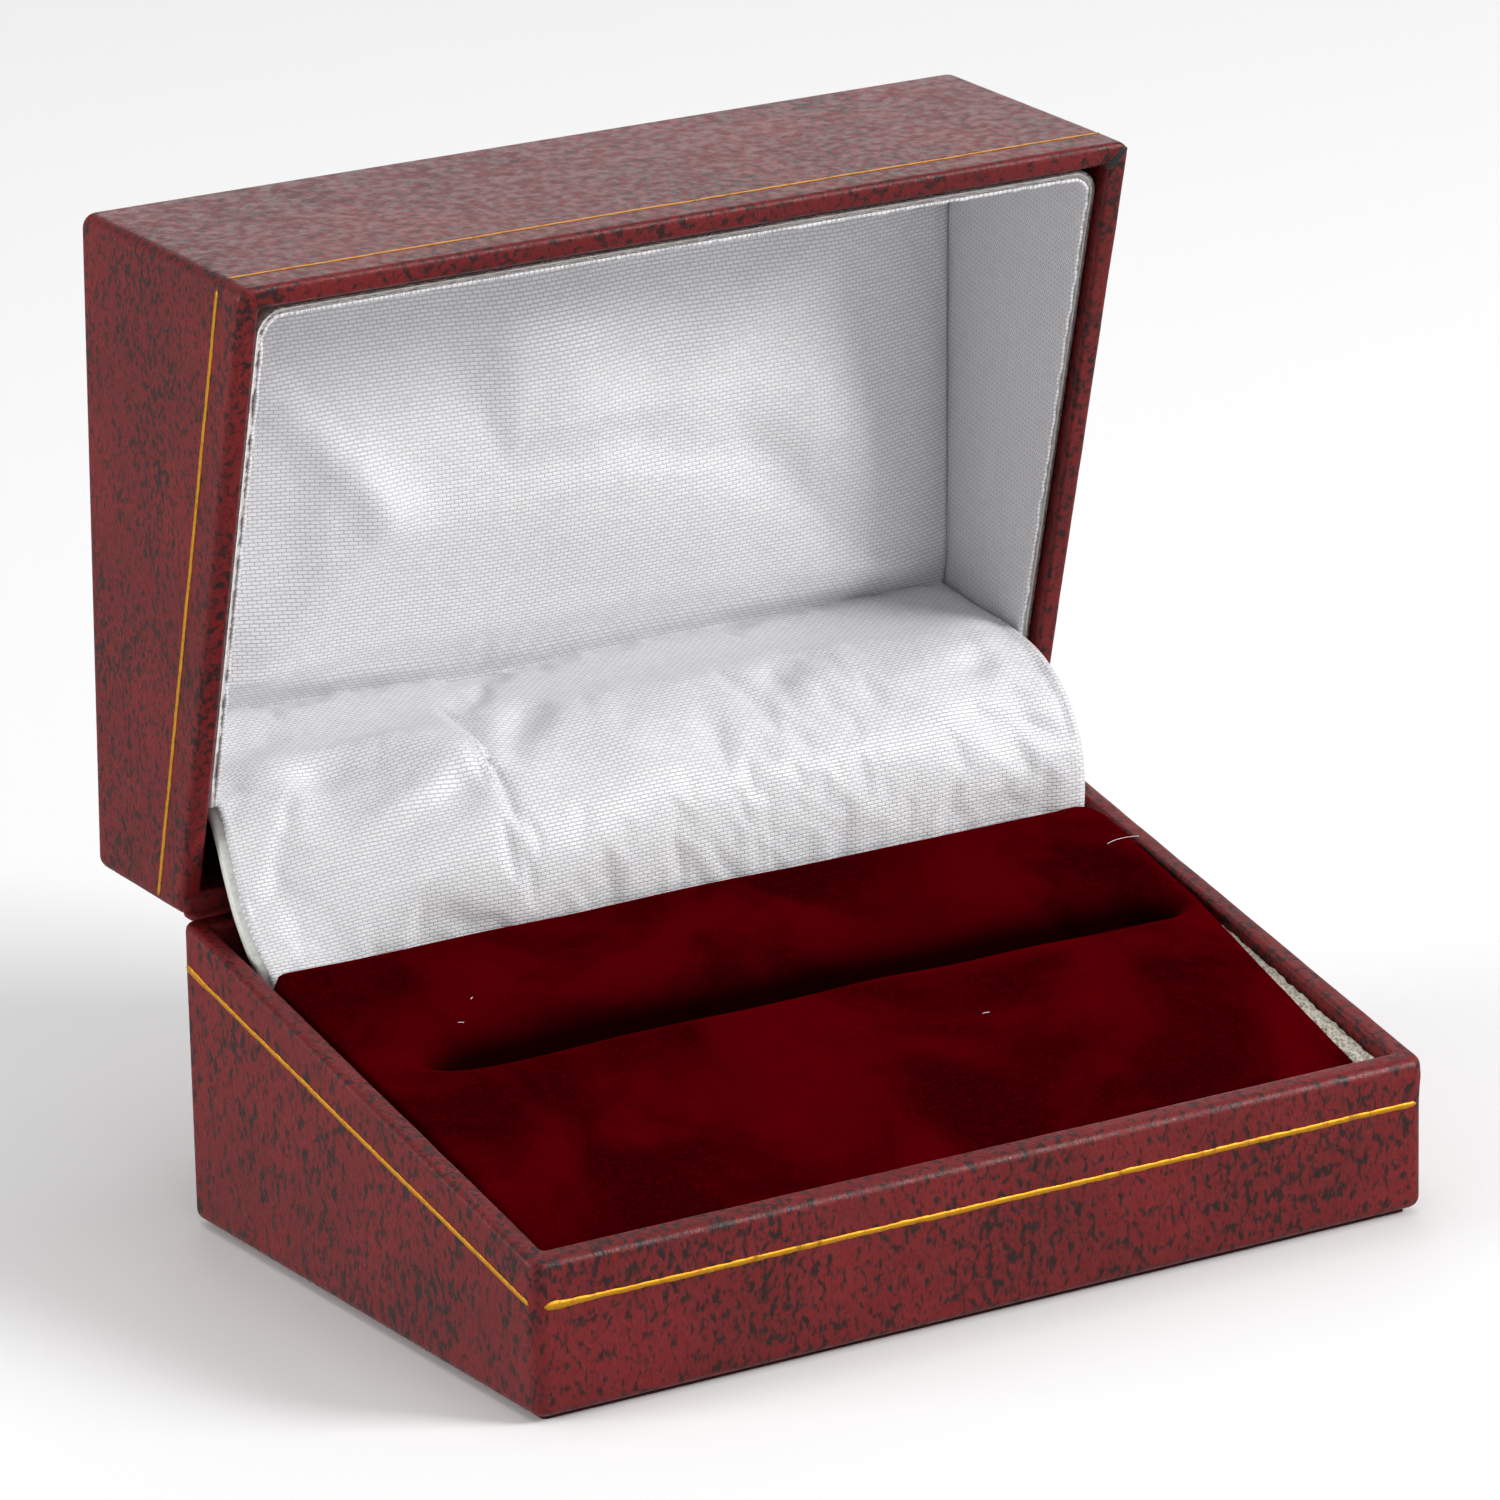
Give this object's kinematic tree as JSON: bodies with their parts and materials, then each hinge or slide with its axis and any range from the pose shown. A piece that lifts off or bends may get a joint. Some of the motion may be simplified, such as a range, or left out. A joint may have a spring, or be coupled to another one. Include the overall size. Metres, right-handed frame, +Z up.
{
  "type": "ring box",
  "caption": "Hinged two-ring presentation box in leatherette, standing open, with a velvet ring pad and a satin-lined lid.",
  "frame": {"origin": "middle of the flat underside of the base, which the box stands on", "axes": "+X along the hinge, to the right as the open box faces the viewer; +Y from the front to the hinge; +Z up"},
  "size_m": [0.086, 0.0722, 0.0848],
  "materials": {
    "core_plastic": "moulded black polystyrene",
    "leatherette": "speckled burgundy leatherette paper with a fine pebble grain",
    "base_paper": "matt black base paper",
    "card": "raw greyboard",
    "foam": "cream open-cell foam",
    "velvet": "deep red pile velvet",
    "satin": "white woven satin",
    "wadding": "white polyester wadding",
    "steel": "plated sheet steel"
  },
  "bodies": {
    "base": {"base_shell": "core_plastic", "base_wrap": "leatherette", "base_underside_sheet": "base_paper", "ring_pad_riser": "card", "ring_pad_foam": "foam", "ring_pad_velvet": "velvet", "base_hinge_leaf": "steel", "hinge_pin": "steel", "base_rivet_left": "steel", "base_rivet_right": "steel"},
    "lid": {"lid_shell": "core_plastic", "lid_wrap": "leatherette", "lid_collar": "satin", "lid_pad_board": "card", "lid_pad_wadding": "wadding", "lid_pad_satin": "satin", "lid_hinge_leaf": "steel", "lid_rivet_left": "steel", "lid_rivet_right": "steel", "hinge_cover_card": "card", "hinge_cover_wadding": "wadding", "hinge_cover_satin": "satin"},
    "spring": {"snap_spring": "steel"}
  },
  "joints": [
    {"name": "lid_hinge", "type": "hinge", "parent": "base", "child": "lid", "pos_m": [0, 0.0287, 0.0269], "axis": [1, 0, 0], "range_deg": [0, 88], "deforming": ["hinge_cover_card", "hinge_cover_wadding", "hinge_cover_satin"]},
    {"name": "spring_hinge", "type": "hinge", "parent": "base", "child": "spring", "pos_m": [0, 0.025, 0.0194], "axis": [1, 0, 0], "range_deg": [0, 44]}
  ],
  "couplings": [
    {"joint": "spring_hinge", "follows": "lid_hinge", "ratio": 0.5}
  ]
}
